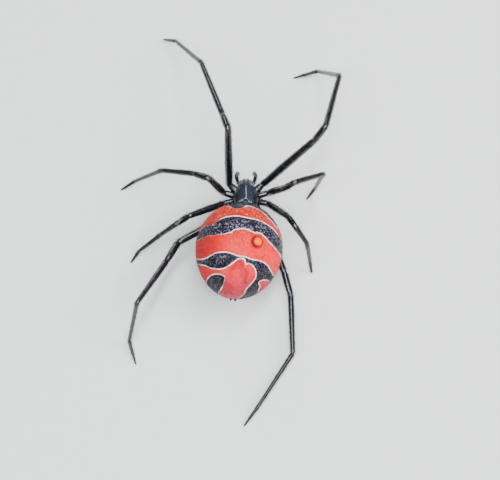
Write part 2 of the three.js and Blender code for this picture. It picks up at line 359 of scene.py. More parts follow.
def place_points(shape, points):
    """Moves the points of a bmesh."""
    for vert, point in zip(shape.verts, points):
        vert.co = point


head_shape = new_ball(96, 80)
head_points = shape_head(*ball_angles(head_shape))
eye_places = {
    f"eye_{row}_{pair}_{side_name}": middle_of(f"eye_{row}_{pair}_{side_name}")
    for row in ("posterior", "anterior") for pair in ("median", "lateral")
    for side_name in ("left", "right")
}
head_outward = unit(head_points - head_centre)
for place in eye_places.values():
    reach = np.linalg.norm(head_points - place, axis=1)
    head_points += head_outward * (EYE_MOUND * bell(reach, 0, EYE_MOUND_REACH))[:, None]
place_points(head_shape, head_points)
head = finish_piece("head_thorax_shell", head_shape, shell_painted_blue_sheen, ["head_thorax"])
from_middle = points_of(head.data) - head_centre
# On the head, distal marks the flanks, the underside and the front, where the painted blue sheen
# gives way to black.
set_mask(head, "distal", np.maximum.reduce([
    blend_step(np.abs(from_middle[:, 0]) / SHIELD_WIDTH, 0.45, 0.8),
    blend_step(-from_middle[:, 2], -0.5 * MM, 0),
    blend_step(from_middle[:, 1] / HEAD_HALF_LENGTH, 0.78, 0.92)]))
set_mask(head, "membrane", 0)


# Eyes. Eight simple eyes in two rows across the front of the head, each a clear hard dome
# over a dark cup, set on its own low mound. Each is a smooth ball sunk to half its depth.
EYE_RADIUS = 0.135 * MM


def add_ramp(tree, source, stops):
    """A colour ramp through (place, colour) stops, fed by a source socket."""
    ramp = tree.nodes.new("ShaderNodeValToRGB")
    elements = ramp.color_ramp.elements
    while len(elements) < len(stops):
        elements.new(0.5)
    for element, (place, color) in zip(elements, stops):
        element.position = place
        element.color = color
    tree.links.new(source, ramp.inputs["Fac"])
    return ramp.outputs["Color"]


eye_material, eye_tree, eye_shader = new_material("eye_lens", {
    "Roughness": 0.06, "IOR": 1.5, "Coat Weight": 0.4, "Coat Roughness": 0.03})
eye_cloud = add_grain(eye_tree, eye_shader, 26000, 9000, 0.001 * MM, 0.2)
eye_color = add_ramp(eye_tree, eye_cloud, [
    (0.3, (0.006, 0.006, 0.009, 1)), (0.75, (0.03, 0.022, 0.02, 1))])
eye_tree.links.new(eye_color, eye_shader.inputs["Base Color"])

for eye_name, place in eye_places.items():
    eye_shape = bmesh.new()
    bmesh.ops.create_uvsphere(eye_shape, u_segments=28, v_segments=18, radius=EYE_RADIUS,
                              matrix=Matrix.Translation(place))
    finish_piece(f"{eye_name}_dome", eye_shape, eye_material, [eye_name])


# Legs. Each is a chain of hard tubes: hip, thigh, knee piece, shin, foot and toe, waisted
# where soft membrane joins them and swollen just beyond. One skin runs from the body to the
# toe, drawn ring by ring along the leg's line, so that no seam shows.
LEG_PIECES = ("coxa", "femur", "patella", "tibia", "foot")
LEG_SIDES = 20
GAP_CORNERS = 12  # corners of a piece that count as its end at a joint
ROOT_CORNERS = 8  # and as its end in the body
ROOT_DEPTH = 0.35  # how far the skin goes on into the body, as a share of the hip
TOE_BAND = 0.4 * MM
ABOVE_BOARD = 0.001 * MM
TIP_LIFT = 0.06 * MM
BEND_EASE = 0.16 * MM
RING_STEP = 0.42 * MM
END_RINGS = np.array([0, 0.07, 0.16, 0.28]) * MM  # from a joint, where rings lie close
MEMBRANE_REACH = 0.1 * MM
# Length of the foot's first piece, from the ankle to the toe joint, for each pair of legs
METATARSUS = {1: 7.2 * MM, 2: 4.8 * MM, 3: 3.2 * MM, 4: 6.2 * MM}
STOUTNESS = {1: 1.0, 2: 0.92, 3: 0.86, 4: 0.98}
# Radius in millimetres along each piece, as (share of its length, radius)
LEG_RADII = (
    ((0, 0.30), (0.35, 0.40), (0.72, 0.36), (0.9, 0.33), (1, 0.27)),
    ((0, 0.28), (0.04, 0.335), (0.14, 0.38), (0.4, 0.42), (0.75, 0.38), (0.95, 0.355), (1, 0.29)),
    ((0, 0.27), (0.12, 0.33), (0.45, 0.365), (0.85, 0.335), (1, 0.26)),
    ((0, 0.25), (0.05, 0.305), (0.3, 0.32), (0.7, 0.28), (0.95, 0.26), (1, 0.205)),
    ((0, 0.2), (0.04, 0.235), (0.25, 0.225), (0.9, 0.18), (1, 0.145)),
    ((0, 0.14), (0.1, 0.165), (0.55, 0.14), (0.92, 0.09), (1, 0.055)),
)
# The three claws at the end of a leg, as (way to the side, length in millimetres)
CLAWS = ((-0.5, 0.16), (0.5, 0.16), (0.0, 0.11))
CLAW_ROOT = 0.026 * MM
CLAW_POINT = 0.004 * MM
CLAW_DEPTH = 0.03 * MM  # how far they start inside the toe, and their least height

black_shell = build_shell_material("black_shell", (0.003, 0.0035, 0.006, 1),
                                   (0.01, 0.007, 0.006, 1), (0.04, 0.03, 0.028, 1), 0.17)


def corners_of(node):
    """The corners of a CAD piece."""
    return np.unique(points_of(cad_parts[node].data).round(7), axis=0)


def joint_between(first, second):
    """The middle of the narrow gap where two pieces of a leg meet."""
    a, b = corners_of(first), corners_of(second)
    apart = np.linalg.norm(a[:, None] - b[None], axis=2)
    near_a = a[np.argsort(apart.min(axis=1))[:GAP_CORNERS]].mean(axis=0)
    near_b = b[np.argsort(apart.min(axis=0))[:GAP_CORNERS]].mean(axis=0)
    return (near_a + near_b) / 2


def leg_line(nodes, pair):
    """Root, hip, knee, shin, ankle, toe joint and toe tip of a leg."""
    coxa, foot = corners_of(nodes[0]), corners_of(nodes[-1])
    joints = [joint_between(a, b) for a, b in zip(nodes, nodes[1:])]
    inwards = np.argsort(np.linalg.norm(coxa - head_centre, axis=1))
    root = coxa[inwards[:ROOT_CORNERS]].mean(axis=0)
    from_ankle = np.linalg.norm(foot - joints[-1], axis=1)
    toe = foot[np.abs(from_ankle - METATARSUS[pair]) < TOE_BAND].mean(axis=0)
    tip = foot[foot[:, 2] < ABOVE_BOARD].mean(axis=0) + np.array([0, 0, TIP_LIFT])
    return np.array([root + (root - joints[0]) * ROOT_DEPTH, *joints, toe, tip])


def line_stations(line):
    """Length of each stretch of a line, and how far along it each of its points lies."""
    lengths = np.linalg.norm(np.diff(line, axis=0), axis=1)
    return lengths, np.concatenate([[0], np.cumsum(lengths)])


def along_line(line, distance):
    """Points at distances along a line of joints, with each corner eased round."""
    at = line_stations(line)[1]

    def straight(value):
        return np.stack([np.interp(value, at, line[:, k]) for k in range(3)], axis=-1)

    return (straight(distance - BEND_EASE) + 2 * straight(distance)
            + straight(distance + BEND_EASE)) / 4


def leg_stations(line, pair):
    """Distance, radius, nearness to a joint and browning at each ring of a leg."""
    lengths, at = line_stations(line)
    distances, radii = [], []
    for start, length, profile in zip(at, lengths, LEG_RADII):
        middle = np.linspace(RING_STEP, length - RING_STEP, max(3, int(length / RING_STEP)))
        local = np.concatenate([END_RINGS, middle, length - END_RINGS[:0:-1]])
        shares, sizes = zip(*profile)
        distances.append(start + local)
        radii.append(np.interp(local / length, shares, sizes) * MM)
    distance = np.concatenate([*distances, [at[-1]]])
    radius = np.concatenate([*radii, [LEG_RADII[-1][-1][1] * MM]])
    thick = np.where(distance < at[4], STOUTNESS[pair], 1)
    joint_gap = np.abs(distance[:, None] - at[None, 1:-1]).min(axis=1)
    distal = np.interp(distance, at[3:], [0, 0.55, 0.8, 1])
    return distance, radius * thick, bell(joint_gap, 0, MEMBRANE_REACH), distal


def ring_frames(centres):
    """A direction and two cross directions at each ring, carried along without twist."""
    ahead = unit(np.gradient(centres, axis=0))
    side = np.cross(ahead[0], [0, 0, 1.0])
    frames = []
    for direction in ahead:
        side = side - direction * np.dot(side, direction)
        side = side / np.linalg.norm(side)
        frames.append((direction, side, np.cross(side, direction)))
    return frames


def draw_tube(centres, radii, sides):
    """A closed skin drawn from a circle by extruding its edge from ring to ring."""
    shape = bmesh.new()
    matrices = []
    for centre, radius, (ahead, side, top) in zip(centres, radii, ring_frames(centres)):
        turn = Matrix((side, top, ahead)).transposed().to_4x4()
        size = Matrix.Diagonal((radius, radius, radius, 1))
        matrices.append(Matrix.Translation(centre) @ turn @ size)
    bmesh.ops.create_circle(shape, segments=sides, radius=1, matrix=matrices[0])
    first = ring = list(shape.edges)
    for before, after in zip(matrices, matrices[1:]):
        grown = bmesh.ops.extrude_edge_only(shape, edges=ring)["geom"]
        verts = [item for item in grown if isinstance(item, bmesh.types.BMVert)]
        ring = [item for item in grown if isinstance(item, bmesh.types.BMEdge)]
        bmesh.ops.transform(shape, matrix=after @ before.inverted(), verts=verts)
    for rim in (first, ring):
        bmesh.ops.edgeloop_fill(shape, edges=rim)
    return shape


def turned_to(way):
    """A turn that brings the Z axis to a direction."""
    return Vector(way).to_track_quat("Z", "Y").to_matrix().to_4x4()


def add_claws(shape, tip, ahead, side):
    """The tiny claws at the end of a leg."""
    start = tip - ahead * CLAW_DEPTH
    for spread, length in CLAWS:
        aim = unit(ahead * 0.6 + side * spread + np.array([0, 0, -0.15]))
        middle = start + aim * length / 2 * MM
        middle[2] = max(middle[2], CLAW_DEPTH)
        bmesh.ops.create_cone(shape, cap_ends=True, segments=8, radius1=CLAW_ROOT,
                              radius2=CLAW_POINT, depth=length * MM,
                              matrix=Matrix.Translation(middle) @ turned_to(aim))


leg_rings = {}
for pair in METATARSUS:
    for side_name in ("left", "right"):
        leg = f"leg_{pair}_{side_name}"
        leg_nodes = [f"{leg}_{piece}" for piece in LEG_PIECES]
        line = leg_line(leg_nodes, pair)
        distance, radii, membrane, distal = leg_stations(line, pair)
        centres = along_line(line, distance)
        frames = ring_frames(centres)
        leg_shape = draw_tube(centres, radii, LEG_SIDES)
        add_claws(leg_shape, centres[-1], frames[-1][0], frames[-1][1])
        for vert in leg_shape.verts:
            vert.co.z = max(vert.co.z, ABOVE_BOARD)
        skin = finish_piece(f"{leg}_skin", leg_shape, black_shell, leg_nodes)
        nearest = np.array([np.argmin(((centres - point) ** 2).sum(axis=1))
                            for point in points_of(skin.data)])
        set_mask(skin, "membrane", membrane[nearest] * 0.8)
        set_mask(skin, "distal", distal[nearest])
        leg_rings[leg] = (pair, centres, radii, frames)


# Mouthparts. Two stout fang bases hang from the front of the head, each ending in a small
# hooked fang, and two short feelers stand beside them like a ninth and tenth leg. They are of
# the same shell as the legs, browner at their tips.
LIMB_SIDES = 18
LIMB_RINGS = 44
# Each line goes outwards from the middle, forwards and upwards, in millimetres from the head's
# front; each radius is given in millimetres at a share of the length
FANG_LINE = ((0.26, -0.1, -0.3), (0.27, 0.03, -0.85), (0.26, 0.01, -1.3),
             (0.2, -0.06, -1.48), (0.12, -0.16, -1.6))
FANG_RADII = ((0, 0.17), (0.35, 0.22), (0.6, 0.2), (0.74, 0.14), (0.79, 0.06), (1, 0.012))
FEELER_LINE = ((0.5, -0.5, -0.8), (0.82, 0.1, -0.8), (0.98, 0.62, -0.3), (0.88, 1.1, -0.8),
               (0.66, 1.2, -1.72))
FEELER_RADII = ((0, 0.14), (0.16, 0.17), (0.24, 0.14), (0.28, 0.17), (0.47, 0.19), (0.5, 0.14),
                (0.54, 0.17), (0.66, 0.16), (0.7, 0.12), (0.74, 0.15), (0.9, 0.11), (1, 0.03))


def draw_limb(node, side, places, radii):
    """A short jointed limb drawn through given points."""
    line = np.array([[head_centre[0] + side * right * MM, head_high[1] + ahead * MM,
                      head_centre[2] + up * MM] for right, ahead, up in places])
    length = line_stations(line)[1][-1]
    distance = np.linspace(0, length, LIMB_RINGS)
    centres = along_line(line, distance)
    radius = np.interp(distance / length, *zip(*radii)) * MM
    piece = finish_piece(f"{node}_skin", draw_tube(centres, radius, LIMB_SIDES), black_shell,
                         [node])
    way = unit(line[-1] - line[0])
    set_mask(piece, "distal", np.interp(points_of(piece.data) @ way,
                                        [line[0] @ way, line[-1] @ way], [0.1, 1.0]))
    set_mask(piece, "membrane", 0)
    return centres, radius, ring_frames(centres)


feeler_rings = {}
for side_name, side in (("left", -1), ("right", 1)):
    draw_limb(f"chelicera_{side_name}", side, FANG_LINE, FANG_RADII)
    feeler = f"pedipalp_{side_name}"
    feeler_rings[feeler] = draw_limb(feeler, side, FEELER_LINE, FEELER_RADII)


# The waist. A short bare stalk of thin, half soft shell that joins thorax and abdomen. It is
# one tube, run a little way into both.
WAIST_RINGS = 14
waist_low, waist_high = box_of("pedicel")
waist_middle = middle_of("pedicel")
waist_line = np.array([
    [waist_middle[0] - 0.05 * MM, waist_high[1] + 0.35 * MM, waist_low[2] + 0.3 * MM],
    waist_middle,
    [waist_middle[0] + 0.05 * MM, waist_low[1] - 0.35 * MM, waist_high[2] - 0.3 * MM]])
waist_centres = along_line(waist_line, np.linspace(
    0, np.linalg.norm(waist_line[2] - waist_line[0]), WAIST_RINGS))
waist_radii = (0.3 + 0.05 * np.cos(np.linspace(-math.pi, math.pi, WAIST_RINGS) * 2)) * MM
waist = finish_piece("pedicel_skin", draw_tube(waist_centres, waist_radii, 24), black_shell,
                     ["pedicel"])
set_mask(waist, "distal", 0.6)
set_mask(waist, "membrane", 0.35)


# Abdomen. A taut soft globe, violet-black, crossed by red bands that are edged in white and
# run down its sides. It is blown up from a ball to the body's outline, drawn out low at the
# rear, and the bands are laid out on it by distance over the skin.
ABDOMEN_TURN = math.radians(-8)
ABDOMEN_HALF = np.array([4.15, 4.65, 4.3]) * MM
SKIN_REACH = 4.35 * MM  # mean radius, which turns a distance over the skin into an angle
# The bands are drawn on a map of the skin: millimetres to the right and forward over the skin
# from the crown, the point of the back that faces the camera. Each outline is closed.
BANDS = (
    # front patch: rear edge from left to right, then its front edge back to the left
    ((-8.3, 3.9), (-6.2, 3.1), (-4.53, 3.2), (-3.2, 2.97), (-2.19, 3.42), (-1.18, 3.7),
     (-0.13, 3.7), (0.9, 3.5), (2.07, 3.34), (3.05, 3.08), (4.25, 2.56), (5.65, 1.79),
     (8.1, 1.2), (8.8, 1.7), (7.4, 2.7), (5.8, 3.0), (4.88, 3.25), (4.28, 3.77), (3.65, 4.33),
     (3.0, 4.87), (2.35, 5.27), (1.7, 5.55), (1.15, 5.6), (0.7, 5.25), (0.3, 4.9),
     (-0.3, 4.85), (-0.9, 5.2), (-1.4, 5.9), (-2.3, 6.6), (-4.4, 6.7), (-6.6, 6.1),
     (-8.6, 4.9)),
    # middle band: front edge from left to right, then its rear edge back to the left
    ((-8.8, 0.9), (-7.0, 1.3), (-5.07, 1.5), (-3.28, 1.7), (-2.04, 1.69), (-0.83, 1.85),
     (-0.38, 2.11), (0.32, 2.24), (0.95, 2.13), (1.58, 1.87), (2.26, 1.84), (2.88, 1.4),
     (3.47, 0.87), (4.53, 0.15), (6.1, -0.85), (7.8, -1.9), (8.7, -3.2), (7.8, -4.0),
     (6.2, -4.1), (4.9, -3.5), (3.69, -2.19), (3.05, -1.44), (2.25, -1.0), (1.29, -0.78),
     (0.58, -0.53), (-0.02, -0.44), (-0.62, -0.22), (-1.32, -0.08), (-2.28, -0.17),
     (-2.93, -0.46), (-4.02, -0.9), (-6.2, -1.2), (-7.8, -1.3), (-9.0, -0.4)),
    # rear pendant with its arm to the left
    ((-7.6, -2.3), (-5.9, -1.9), (-3.92, -1.65), (-2.98, -1.81), (-1.8, -1.78), (-1.15, -1.55),
     (-0.45, -1.03), (-0.03, -0.74), (0.36, -0.69), (0.62, -0.86), (0.71, -1.27), (1.01, -1.2),
     (1.47, -1.51), (1.79, -2.19), (1.73, -2.89), (1.27, -3.46), (0.82, -4.1), (0.47, -5.1),
     (-0.5, -6.2), (-2.05, -6.7), (-2.85, -6.0), (-2.35, -4.9), (-1.74, -3.8), (-1.48, -3.09),
     (-1.41, -2.55), (-1.92, -2.33), (-2.69, -2.47), (-3.38, -2.94), (-4.3, -4.0),
     (-5.0, -4.9), (-6.2, -4.7), (-7.4, -3.7), (-8.2, -2.9)),
    # small patch at the right of the rear
    ((2.21, -3.5), (2.65, -3.26), (3.4, -3.55), (4.5, -4.5), (4.3, -5.6), (3.3, -5.9),
     (2.5, -5.1), (2.49, -4.1)),
)
# Where a band's white line is faint or broad, as (right, forward, reach)
FAINT_LINES = ((-3.3, 1.75, 2.1), (-1.3, -3.2, 0.7), (-0.2, 4.95, 0.8), (-2.6, 6.2, 1.7),
               (-5.6, 1.5, 1.2))
BROAD_LINES = ((1.9, 5.3, 1.0), (3.3, 4.5, 1.2), (4.6, 3.4, 1.0), (6.0, -1.0, 0.9))
# The belly's hourglass, in millimetres to the right and forward from the middle of the belly
HOURGLASS = ((-1.0, 1.7), (0.0, 1.9), (1.0, 1.7), (0.45, 0.9), (0.25, 0.4), (0.5, -0.2),
             (0.95, -0.9), (0.0, -1.3), (-0.95, -0.9), (-0.5, -0.2), (-0.25, 0.4), (-0.45, 0.9))
# Shallow creases in the pendant, open lines on the same map as the bands; they are sunk into the
# skin, and painted shade darkens them
CREASES = (
    ((-0.55, -1.75), (-0.25, -1.2), (0.1, -1.02), (0.4, -1.3), (0.25, -1.75)),
    ((0.5, -1.75), (0.75, -2.0), (0.85, -2.5), (0.6, -2.95), (0.75, -3.3)),
    ((-1.45, -4.6), (-1.0, -4.35), (-0.7, -4.8)),
)
# Blotches of a deeper red in the pendant, as (right, forward, reach)
BLOTCHES = ((0.15, -1.25, 0.5), (0.6, -2.3, 0.5), (-1.35, -3.75, 0.75), (-1.6, -4.6, 0.6))
# Dimples where muscles are rooted, on the same map, and how far forms stand or sink, in mm
DIMPLES = ((-1.25, 2.6), (1.15, 2.6), (-1.6, -0.5), (1.35, -0.6))
DIMPLE_DEPTH = 0.05
CREASE_DEPTH = 0.05
BAND_SWELL = 0.02

abdomen_centre = middle_of("abdomen")
abdomen_centre[2] = box_of("abdomen")[1][2] - ABDOMEN_HALF[2]
abdomen_turn = np.array(Matrix.Rotation(ABDOMEN_TURN, 3, "Z"))
bead_centre = middle_of("abdomen_bead")
crown = np.array([0, -math.cos(CAMERA_RISE), math.sin(CAMERA_RISE)])
map_right = np.array([1.0, 0, 0])
map_ahead = np.array([0, math.sin(CAMERA_RISE), math.cos(CAMERA_RISE)])
below = np.array([0, 0, -1.0])
below_ahead = np.array([0, 1.0, 0])


def shape_abdomen(ahead, around):
    """Points of the abdomen; ahead is 1 at the front, -1 at the rear."""
    polar_sine = np.sqrt(np.maximum(0, 1 - ahead ** 2))
    ring = polar_sine * (1 + 0.04 * ahead)
    low = np.maximum(0, -np.sin(around)) * polar_sine
    tail = bell(ahead, -0.72, 0.3) * low ** 2
    flat = 1 - 0.1 * low ** 2 * (1 - tail)
    unturned = np.stack([ring * np.cos(around), ahead - 0.05 * tail,
                         ring * np.sin(around) * (flat + 0.12 * tail)], axis=-1) * ABDOMEN_HALF
    return unturned @ abdomen_turn.T + abdomen_centre


def smooth_outline(points, closed=True):
    """A curve eased through given points, with ten steps from each to the next."""
    points = np.array(points, dtype=float)
    count = len(points)
    eased = []
    for i in range(count if closed else count - 1):
        a, b, c, d = (points[(i + k) % count if closed else min(max(i + k, 0), count - 1)]
                      for k in (-1, 0, 1, 2))
        for t in np.arange(10) / 10:
            eased.append(0.5 * (2 * b + (c - a) * t + (2 * a - 5 * b + 4 * c - d) * t * t
                                + (3 * b - a - 3 * c + d) * t ** 3))
    return np.array(eased)


def from_map(points, pole=crown, ahead=map_ahead):
    """Directions on the ball for places on a map round a pole."""
    points = np.asarray(points)
    reach = np.linalg.norm(points, axis=1, keepdims=True)
    angle = reach * MM / SKIN_REACH
    heading = points[:, :1] * map_right + points[:, 1:] * ahead
    return np.cos(angle) * pole + np.sin(angle) * heading / np.maximum(reach, 1e-9)


def to_map(directions, pole, ahead):
    """Places on a map round a pole for directions on the ball."""
    angle = np.arccos(np.clip(directions @ pole, -1, 1))
    flat = np.stack([directions @ map_right, directions @ ahead], axis=-1)
    reach = np.maximum(np.linalg.norm(flat, axis=1, keepdims=True), 1e-9)
    return flat / reach * (angle * SKIN_REACH / MM)[:, None]


def skin_gap(directions, place):
    """Distance over the skin, in millimetres, from each direction to one."""
    return np.linalg.norm(directions - place, axis=1) * SKIN_REACH / MM


def inside(places, outline):
    """Whether each place lies inside a closed outline."""
    x, y = places[:, 0], places[:, 1]
    result = np.zeros(len(places), dtype=bool)
    for (x0, y0), (x1, y1) in zip(outline, np.roll(outline, -1, axis=0)):
        if y0 != y1:
            result ^= ((y0 > y) != (y1 > y)) & (x < (x1 - x0) * (y - y0) / (y1 - y0) + x0)
    return result


def distance_to(directions, curve, closed):
    """Distance over the skin, in millimetres, from each direction to a curve on the ball."""
    nearest = np.argmax(directions @ curve.T, axis=1)
    last = len(curve) - 1
    best = np.full(len(directions), np.inf)
    for step in (-1, 0):
        first = (nearest + step) % len(curve) if closed else np.clip(nearest + step, 0, last - 1)
        start, stop = curve[first], curve[(first + 1) % len(curve)]
        way = stop - start
        t = np.clip(((directions - start) * way).sum(axis=1) / (way ** 2).sum(axis=1), 0, 1)
        gap = np.linalg.norm(directions - start - way * t[:, None], axis=1)
        best = np.minimum(best, gap)
    return best * SKIN_REACH / MM


def band_edge(directions):
    """Distance in millimetres to the nearest band's outline, above nought inside a band."""
    edge = np.full(len(directions), -9.0)
    maps = [(outline, crown, map_ahead) for outline in BANDS]
    for outline, pole, ahead in (*maps, (HOURGLASS, below, below_ahead)):
        curve = smooth_outline(outline)
        within = inside(to_map(directions, pole, ahead), curve)
        apart = distance_to(directions, from_map(curve, pole, ahead), True)
        edge = np.maximum(edge, np.where(within, apart, -apart))
    return edge


def spot_mask(directions, spots):
    """How near each point is to the middle of any of some round spots, from nought to one."""
    near = np.zeros(len(directions))
    for right, forward, reach in spots:
        gap = skin_gap(directions, from_map([[right, forward]])[0])
        near = np.maximum(near, 1 - blend_step(gap, reach * 0.7, reach * 1.1))
    return near


def crease_depth(directions):
    """How deep each point lies in a crease, from nought to one."""
    deep = np.zeros(len(directions))
    for line in CREASES:
        curve = from_map(smooth_outline(line, closed=False))
        deep = np.maximum(deep, bell(distance_to(directions, curve, False), 0, 0.16))
    return deep


def paint_masks(directions):
    """What the paint needs to know of each point of the skin."""
    round_bead = bell(skin_gap(directions, unit(bead_centre - abdomen_centre)), 0.55, 0.12)
    # painted shade: the red darkens down the left flank, away from the soft lamp on the right
    painted_left_shade = 0.8 * blend_step(-directions @ map_right, 0.28, 0.95)
    return {
        "edge": band_edge(directions),
        "rear": np.clip(0.5 - (directions @ map_ahead) * 0.62, 0, 1),
        # deep: the skin's own darker blotches and a dark ring round the bead's foot, with painted
        # shade in the creases and down the left flank
        "deep": np.maximum.reduce([0.6 * crease_depth(directions), round_bead, painted_left_shade,
                                   0.4 * spot_mask(directions, BLOTCHES)]),
        "line": (1 - 0.85 * spot_mask(directions, FAINT_LINES)
                 + 1.5 * spot_mask(directions, BROAD_LINES)),
    }


abdomen_shape = new_ball(300, 190)
skin_points = shape_abdomen(*ball_angles(abdomen_shape))
skin_directions = unit(skin_points - abdomen_centre)
skin_masks = paint_masks(skin_directions)
swell = (BAND_SWELL * blend_step(skin_masks["edge"], -0.1, 0.25)
         - CREASE_DEPTH * crease_depth(skin_directions) - BAND_SWELL)
for dimple in from_map(DIMPLES):
    swell -= DIMPLE_DEPTH * bell(skin_gap(skin_directions, dimple), 0, 0.14)
skin_points += skin_directions * (swell * MM)[:, None]
place_points(abdomen_shape, skin_points)


def build_band_group():
    """Paint of the abdomen: its colour from the distance to a band's edge, and a red mask."""
    group, start, end = new_group("band_paint", [name.title() for name in skin_masks],
                                  ("Color", "Red"))
    coordinates = add_node(group, "ShaderNodeTexCoord")
    cloud, freckle, waver = (
        add_node(group, "ShaderNodeTexNoise", values) for values in (
            {"Scale": 700.0, "Detail": 6.0, "Roughness": 0.62},
            {"Scale": 5400.0, "Detail": 3.0}, {"Scale": 1500.0, "Detail": 3.0}))
    for texture in (cloud, freckle, waver):
        group.links.new(coordinates.outputs["Object"], texture.inputs["Vector"])
    cloud, freckle, waver = (texture.outputs["Fac"] for texture in (cloud, freckle, waver))

    def combine(first, second, operation="MULTIPLY"):
        made = add_node(group, "ShaderNodeMath", operation=operation)
        for socket, value in zip(made.inputs, (first, second)):
            if isinstance(value, bpy.types.NodeSocket):
                group.links.new(value, socket)
            else:
                socket.default_value = value
        return made.outputs["Value"]

    wavered = combine(combine(waver, 0.07), start.outputs["Edge"], "ADD")
    edge = combine(wavered, 0.035, "SUBTRACT")

    # red: deep at the front, bright in the middle, pink at the rear, with orange flecks ahead
    red = add_ramp(group, start.outputs["Rear"], [
        (0.0, (0.42, 0.007, 0.006, 1)), (0.2, (0.48, 0.008, 0.007, 1)),
        (0.34, (0.74, 0.011, 0.012, 1)), (0.6, (0.84, 0.013, 0.022, 1)),
        (0.78, (0.84, 0.018, 0.036, 1)), (1.0, (0.48, 0.01, 0.055, 1))])
    red = add_mix(group, add_range(group, cloud, 0.42, 0.72, 0, 0.55), red,
                  (0.42, 0.006, 0.008, 1))
    towards_front = add_range(group, start.outputs["Rear"], 0.12, 0.4, 1.0, 0.12)
    flecks = combine(add_range(group, freckle, 0.55, 0.68), towards_front)
    red = add_mix(group, flecks, red, (0.95, 0.22, 0.05, 1))
    # darker red where Deep is set: real blotches and the ring round the bead, plus painted shade
    # in the creases and on the left flank
    red = add_mix(group, start.outputs["Deep"], red, (0.22, 0.002, 0.003, 1))

    # black: clouded, with pale violet specks that thin out to the front and the rear; they are
    # painted glints on the short hairs, with some pale hairs among them
    dark = add_mix(group, add_range(group, cloud, 0.3, 0.7), (0.002, 0.0015, 0.003, 1),
                   (0.014, 0.01, 0.018, 1))
    glint_specks = combine(add_range(group, freckle, 0.5, 0.66),
                     add_range(group, cloud, 0.38, 0.6, 0.35, 1.0))
    glint_speck_strength = add_ramp(group, start.outputs["Rear"], [
        (place, (grey, grey, grey, 1)) for place, grey in (
            (0.0, 0.1), (0.07, 0.15), (0.16, 1), (0.36, 0.9), (0.6, 0.5), (0.85, 0.25))])
    dark = add_mix(group, combine(glint_specks, glint_speck_strength), dark, (0.3, 0.26, 0.38, 1))

    # the two meet in a white line about a tenth of a millimetre wide
    is_red = add_range(group, edge, -0.005, 0.02)
    paint = add_mix(group, is_red, dark, red)
    from_edge = combine(combine(edge, 0.0, "ABSOLUTE"), start.outputs["Line"], "DIVIDE")
    paint = add_mix(group, add_range(group, from_edge, 0.04, 0.066, 1, 0), paint,
                    (0.92, 0.7, 0.68, 1))
    group.links.new(paint, end.inputs["Color"])
    group.links.new(is_red, end.inputs["Red"])
    return group


band_paint = build_band_group()


def add_band_paint(tree):
    """Places the paint in a material, fed by the piece's own masks."""
    paint = add_node(tree, "ShaderNodeGroup", node_tree=band_paint)
    for name in skin_masks:
        tree.links.new(add_mask(tree, name), paint.inputs[name.title()])
    return paint


skin_material, skin_tree, skin_shader = new_material("banded_skin", {
    "Specular IOR Level": 0.16, "Subsurface Weight": 0.06, "Subsurface Scale": 0.3,
    "Subsurface Radius": (0.0006, 0.0002, 0.0001)})
skin_cloud = add_grain(skin_tree, skin_shader, 5200, 1100, 0.012 * MM, 0.8)
skin_tree.links.new(add_band_paint(skin_tree).outputs["Color"],
                    skin_shader.inputs["Base Color"])
skin_tree.links.new(add_range(skin_tree, skin_cloud, 0.3, 0.7, 0.4, 0.55),
                    skin_shader.inputs["Roughness"])

abdomen = finish_piece("abdomen_skin", abdomen_shape, skin_material, ["abdomen"])
for mask_name, values in skin_masks.items():
    set_mask(abdomen, mask_name, values)


# The bead. A small clear orange swelling that stands on the middle band, with a dark red
# rim where it meets the skin, and a painted highlight, a yellow-orange spot right of its middle.
# It is a low dome, pressed out from a ball.
BEAD_RADIUS = 0.5 * MM
BEAD_HEIGHT = 0.3 * MM

bead_material, bead_tree, bead_shader = new_material("orange_skin", {
    "Coat Weight": 0.05, "Coat Roughness": 0.2, "Specular IOR Level": 0.15})
bead_cloud = add_grain(bead_tree, bead_shader, 9000, 2600, 0.004 * MM, 0.5)
# the rim mask runs from the painted highlight (nought) through the orange to the dark red rim
bead_color = add_ramp(bead_tree, add_mask(bead_tree, "rim"), [
    (0.0, (0.93, 0.14, 0.003, 1)), (0.2, (0.88, 0.04, 0.0006, 1)),
    (0.4, (0.82, 0.025, 0.0006, 1)), (0.54, (0.2, 0.002, 0.002, 1))])
bead_color = add_mix(bead_tree, add_range(bead_tree, bead_cloud, 0.3, 0.7, 0, 0.25),
                     bead_color, (0.75, 0.07, 0.006, 1))
bead_tree.links.new(bead_color, bead_shader.inputs["Base Color"])
bead_tree.links.new(add_range(bead_tree, bead_cloud, 0.3, 0.7, 0.12, 0.25),
                    bead_shader.inputs["Roughness"])

bead_normal = unit((bead_centre - abdomen_centre) / ABDOMEN_HALF ** 2)
bead_shape = bmesh.new()
bmesh.ops.create_uvsphere(
    bead_shape, u_segments=48, v_segments=32, radius=1,
    matrix=Matrix.Translation(bead_centre) @ turned_to(bead_normal) @ Matrix.Diagonal(
        (BEAD_RADIUS, BEAD_RADIUS, BEAD_HEIGHT, 1)))
bead = finish_piece("abdomen_bead_dome", bead_shape, bead_material,
                    ["abdomen_bead"])
bead_offset = points_of(bead.data) - bead_centre
bead_lift = (bead_offset @ bead_normal)[:, None] * bead_normal
bead_share = np.linalg.norm(bead_offset - bead_lift, axis=1) / BEAD_RADIUS
# painted highlight: a pale orange spot just right of the bead's middle, taken off the rim mask
painted_highlight_place = (0.17 * map_right + 0.04 * map_ahead) * MM
painted_highlight = bell(np.linalg.norm(bead_offset - painted_highlight_place, axis=1) / MM, 0.3, 0.14)
set_mask(bead, "rim", np.clip(0.25 + 0.75 * bead_share ** 4 - 0.3 * painted_highlight, 0, 1))


# Spinnerets. Six little teats under the rear of the abdomen, that let out the silk, with the
# vent's small cone above them. They are short two-piece cones of brown shell.
TEAT_DEPTH = 0.55  # how far they start inside the body, in millimetres
